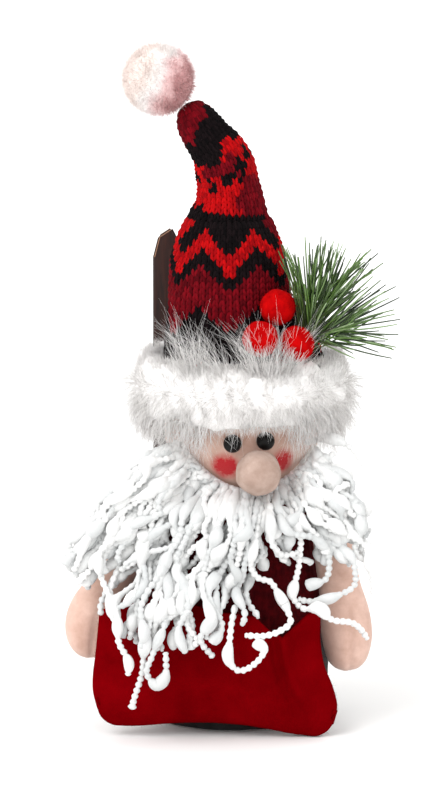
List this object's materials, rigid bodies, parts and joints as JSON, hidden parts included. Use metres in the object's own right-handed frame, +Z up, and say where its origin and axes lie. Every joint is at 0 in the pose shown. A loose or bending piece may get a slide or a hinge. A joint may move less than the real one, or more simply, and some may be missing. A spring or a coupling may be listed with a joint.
{
  "type": "tomte gnome figurine",
  "caption": "Stuffed tomte gnome that stands on a flat base, with a bendable knitted hat, yarn beard, swinging arms and an open felt bag.",
  "frame": {"origin": "middle of the flat base, on the standing surface", "axes": "+Z up, the face looks towards -Y, +X is the viewer's right seen from the front"},
  "size_m": [0.1471, 0.1087, 0.2925],
  "materials": {
    "charcoal_felt": "matte charcoal felt",
    "board": "stiff flat board disc",
    "pellet_bag": "closed cotton bag of pellets",
    "fibre_fill": "white polyester fibre filling",
    "sweater_knit": "dark red ribbed knit",
    "flesh_fleece": "flesh-coloured fleece",
    "wool_nose": "needle-felted wool ball",
    "black_bead": "polished black bead",
    "white_yarn": "white slub yarn",
    "cloth_tape": "woven cotton tape",
    "white_fur": "white long-pile faux fur",
    "hat_knit": "chunky black and red knit",
    "steel_wire": "soft steel craft wire",
    "red_felt": "pressed red felt",
    "berry_felt": "felted red ball",
    "green_pvc": "cut PVC pine needles on wire",
    "brown_wood": "dark stained wood, semi-gloss"
  },
  "bodies": {
    "root": {"lower_body": "charcoal_felt", "base_board": "board", "weight_bag": "pellet_bag", "body_fill": "fibre_fill", "sweater": "sweater_knit", "head_skin": "flesh_fleece", "head_fill": "fibre_fill", "eye_left": "black_bead", "eye_right": "black_bead", "nose": "wool_nose", "beard_backing": "cloth_tape", "beard_left": "white_yarn", "beard_centre": "white_yarn", "beard_right": "white_yarn", "fur_brim": "white_fur", "hat_knit_lower": "hat_knit", "hat_fill_lower": "fibre_fill", "hat_wire_lower": "steel_wire", "bag_front": "red_felt", "bag_back": "red_felt", "back_plank": "brown_wood"},
    "hat_tip": {"hat_knit_upper": "hat_knit", "hat_fill_upper": "fibre_fill", "hat_wire_upper": "steel_wire"},
    "pompom_ball": {"pompom": "white_fur"},
    "arm_left": {"hand_left": "flesh_fleece", "arm_fill_left": "fibre_fill", "sleeve_left": "sweater_knit"},
    "arm_right": {"hand_right": "flesh_fleece", "arm_fill_right": "fibre_fill", "sleeve_right": "sweater_knit"},
    "sprig": {"pine_sprig": "green_pvc"},
    "berries": {"berry_top": "berry_felt", "berry_front": "berry_felt", "berry_side": "berry_felt", "berry_wire_top": "steel_wire", "berry_wire_front": "steel_wire", "berry_wire_side": "steel_wire"}
  },
  "joints": [
    {"name": "hat_tip_bend", "type": "hinge", "parent": "root", "child": "hat_tip", "pos_m": [-0.0018, 0, 0.2265], "axis": [0, 1, 0], "range_deg": [-32, 32]},
    {"name": "pompom_wobble", "type": "hinge", "parent": "hat_tip", "child": "pompom_ball", "pos_m": [-0.0162, 0, 0.2639], "axis": [0, 1, 0], "range_deg": [-25, 25], "stiffness_Nm_per_rad": 0.03, "springref_deg": 1.15},
    {"name": "arm_left_swing", "type": "hinge", "parent": "root", "child": "arm_left", "pos_m": [-0.038, -0.02, 0.092], "axis": [0, 1, 0], "range_deg": [0, 60]},
    {"name": "arm_right_swing", "type": "hinge", "parent": "root", "child": "arm_right", "pos_m": [0.04, -0.02, 0.092], "axis": [0, -1, 0], "range_deg": [0, 60]},
    {"name": "sprig_bend", "type": "hinge", "parent": "root", "child": "sprig", "pos_m": [0.031, -0.02, 0.1595], "axis": [0, 1, 0], "range_deg": [0, 10]},
    {"name": "berries_bend", "type": "hinge", "parent": "root", "child": "berries", "pos_m": [0.018, -0.033, 0.158], "axis": [1, 0, 0], "range_deg": [0, 14]}
  ]
}
